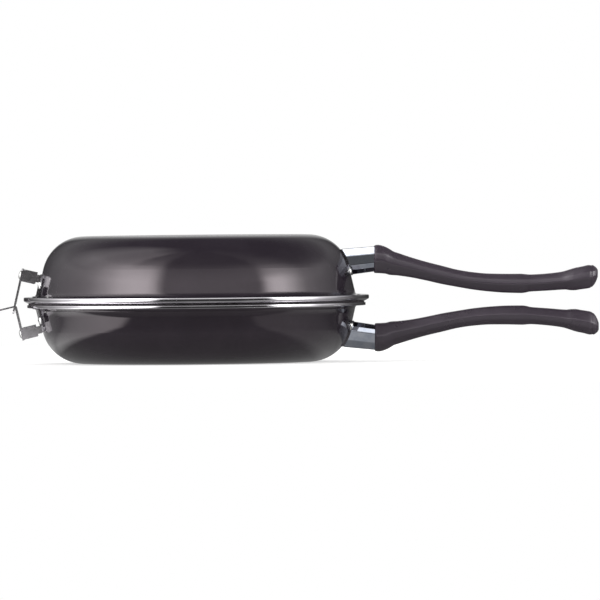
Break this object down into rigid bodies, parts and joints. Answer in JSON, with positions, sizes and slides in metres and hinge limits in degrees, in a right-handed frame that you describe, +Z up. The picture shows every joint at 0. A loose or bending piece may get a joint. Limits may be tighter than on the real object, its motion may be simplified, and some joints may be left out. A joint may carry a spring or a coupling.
{
  "type": "tortilla pan",
  "caption": "Double frying pan for turning tortillas: two deep round pans closed rim to rim, hinged at one side, each with a moulded handle.",
  "frame": {"origin": "middle of the lower pan's flat base, on its underside", "axes": "+X towards the handles, -X towards the hinge, +Y away from the side that the picture shows, +Z up"},
  "size_m": [0.4163, 0.24, 0.0884],
  "materials": {
    "pan_coating": "gloss black non-stick coating on pressed steel",
    "rim_steel": "polished stainless steel",
    "bracket_steel": "bright pressed steel",
    "ferrule_steel": "polished stainless steel",
    "hinge_steel": "bright stainless sheet",
    "rivet_metal": "satin domed heads",
    "screw_steel": "plated steel",
    "handle_bakelite": "satin black moulded resin",
    "seal_silicone": "dark silicone"
  },
  "bodies": {
    "lower_half": {"lower_pan_shell": "pan_coating", "lower_rim_trim": "rim_steel", "lower_handle_bracket": "bracket_steel", "lower_handle_rivets": "rivet_metal", "lower_ferrule": "ferrule_steel", "lower_handle_grip": "handle_bakelite", "lower_handle_screw": "screw_steel", "lower_hinge_foot": "hinge_steel", "lower_hinge_foot_rivets": "rivet_metal", "lower_hinge_bracket": "hinge_steel", "lower_hinge_leaf": "hinge_steel", "lower_hinge_leaf_rivets": "rivet_metal", "rim_seal": "seal_silicone"},
    "upper_half": {"upper_pan_shell": "pan_coating", "upper_rim_trim": "rim_steel", "upper_handle_bracket": "bracket_steel", "upper_handle_rivets": "rivet_metal", "upper_ferrule": "ferrule_steel", "upper_handle_grip": "handle_bakelite", "upper_handle_screw": "screw_steel", "upper_hinge_foot": "hinge_steel", "upper_hinge_foot_rivets": "rivet_metal", "upper_hinge_bracket": "hinge_steel", "upper_hinge_leaf": "hinge_steel", "upper_hinge_leaf_rivets": "rivet_metal"}
  },
  "joints": [
    {"name": "lid_hinge", "type": "hinge", "parent": "lower_half", "child": "upper_half", "pos_m": [-0.126, 0, 0.04155], "axis": [0, -1, 0], "range_deg": [0, 115]}
  ]
}
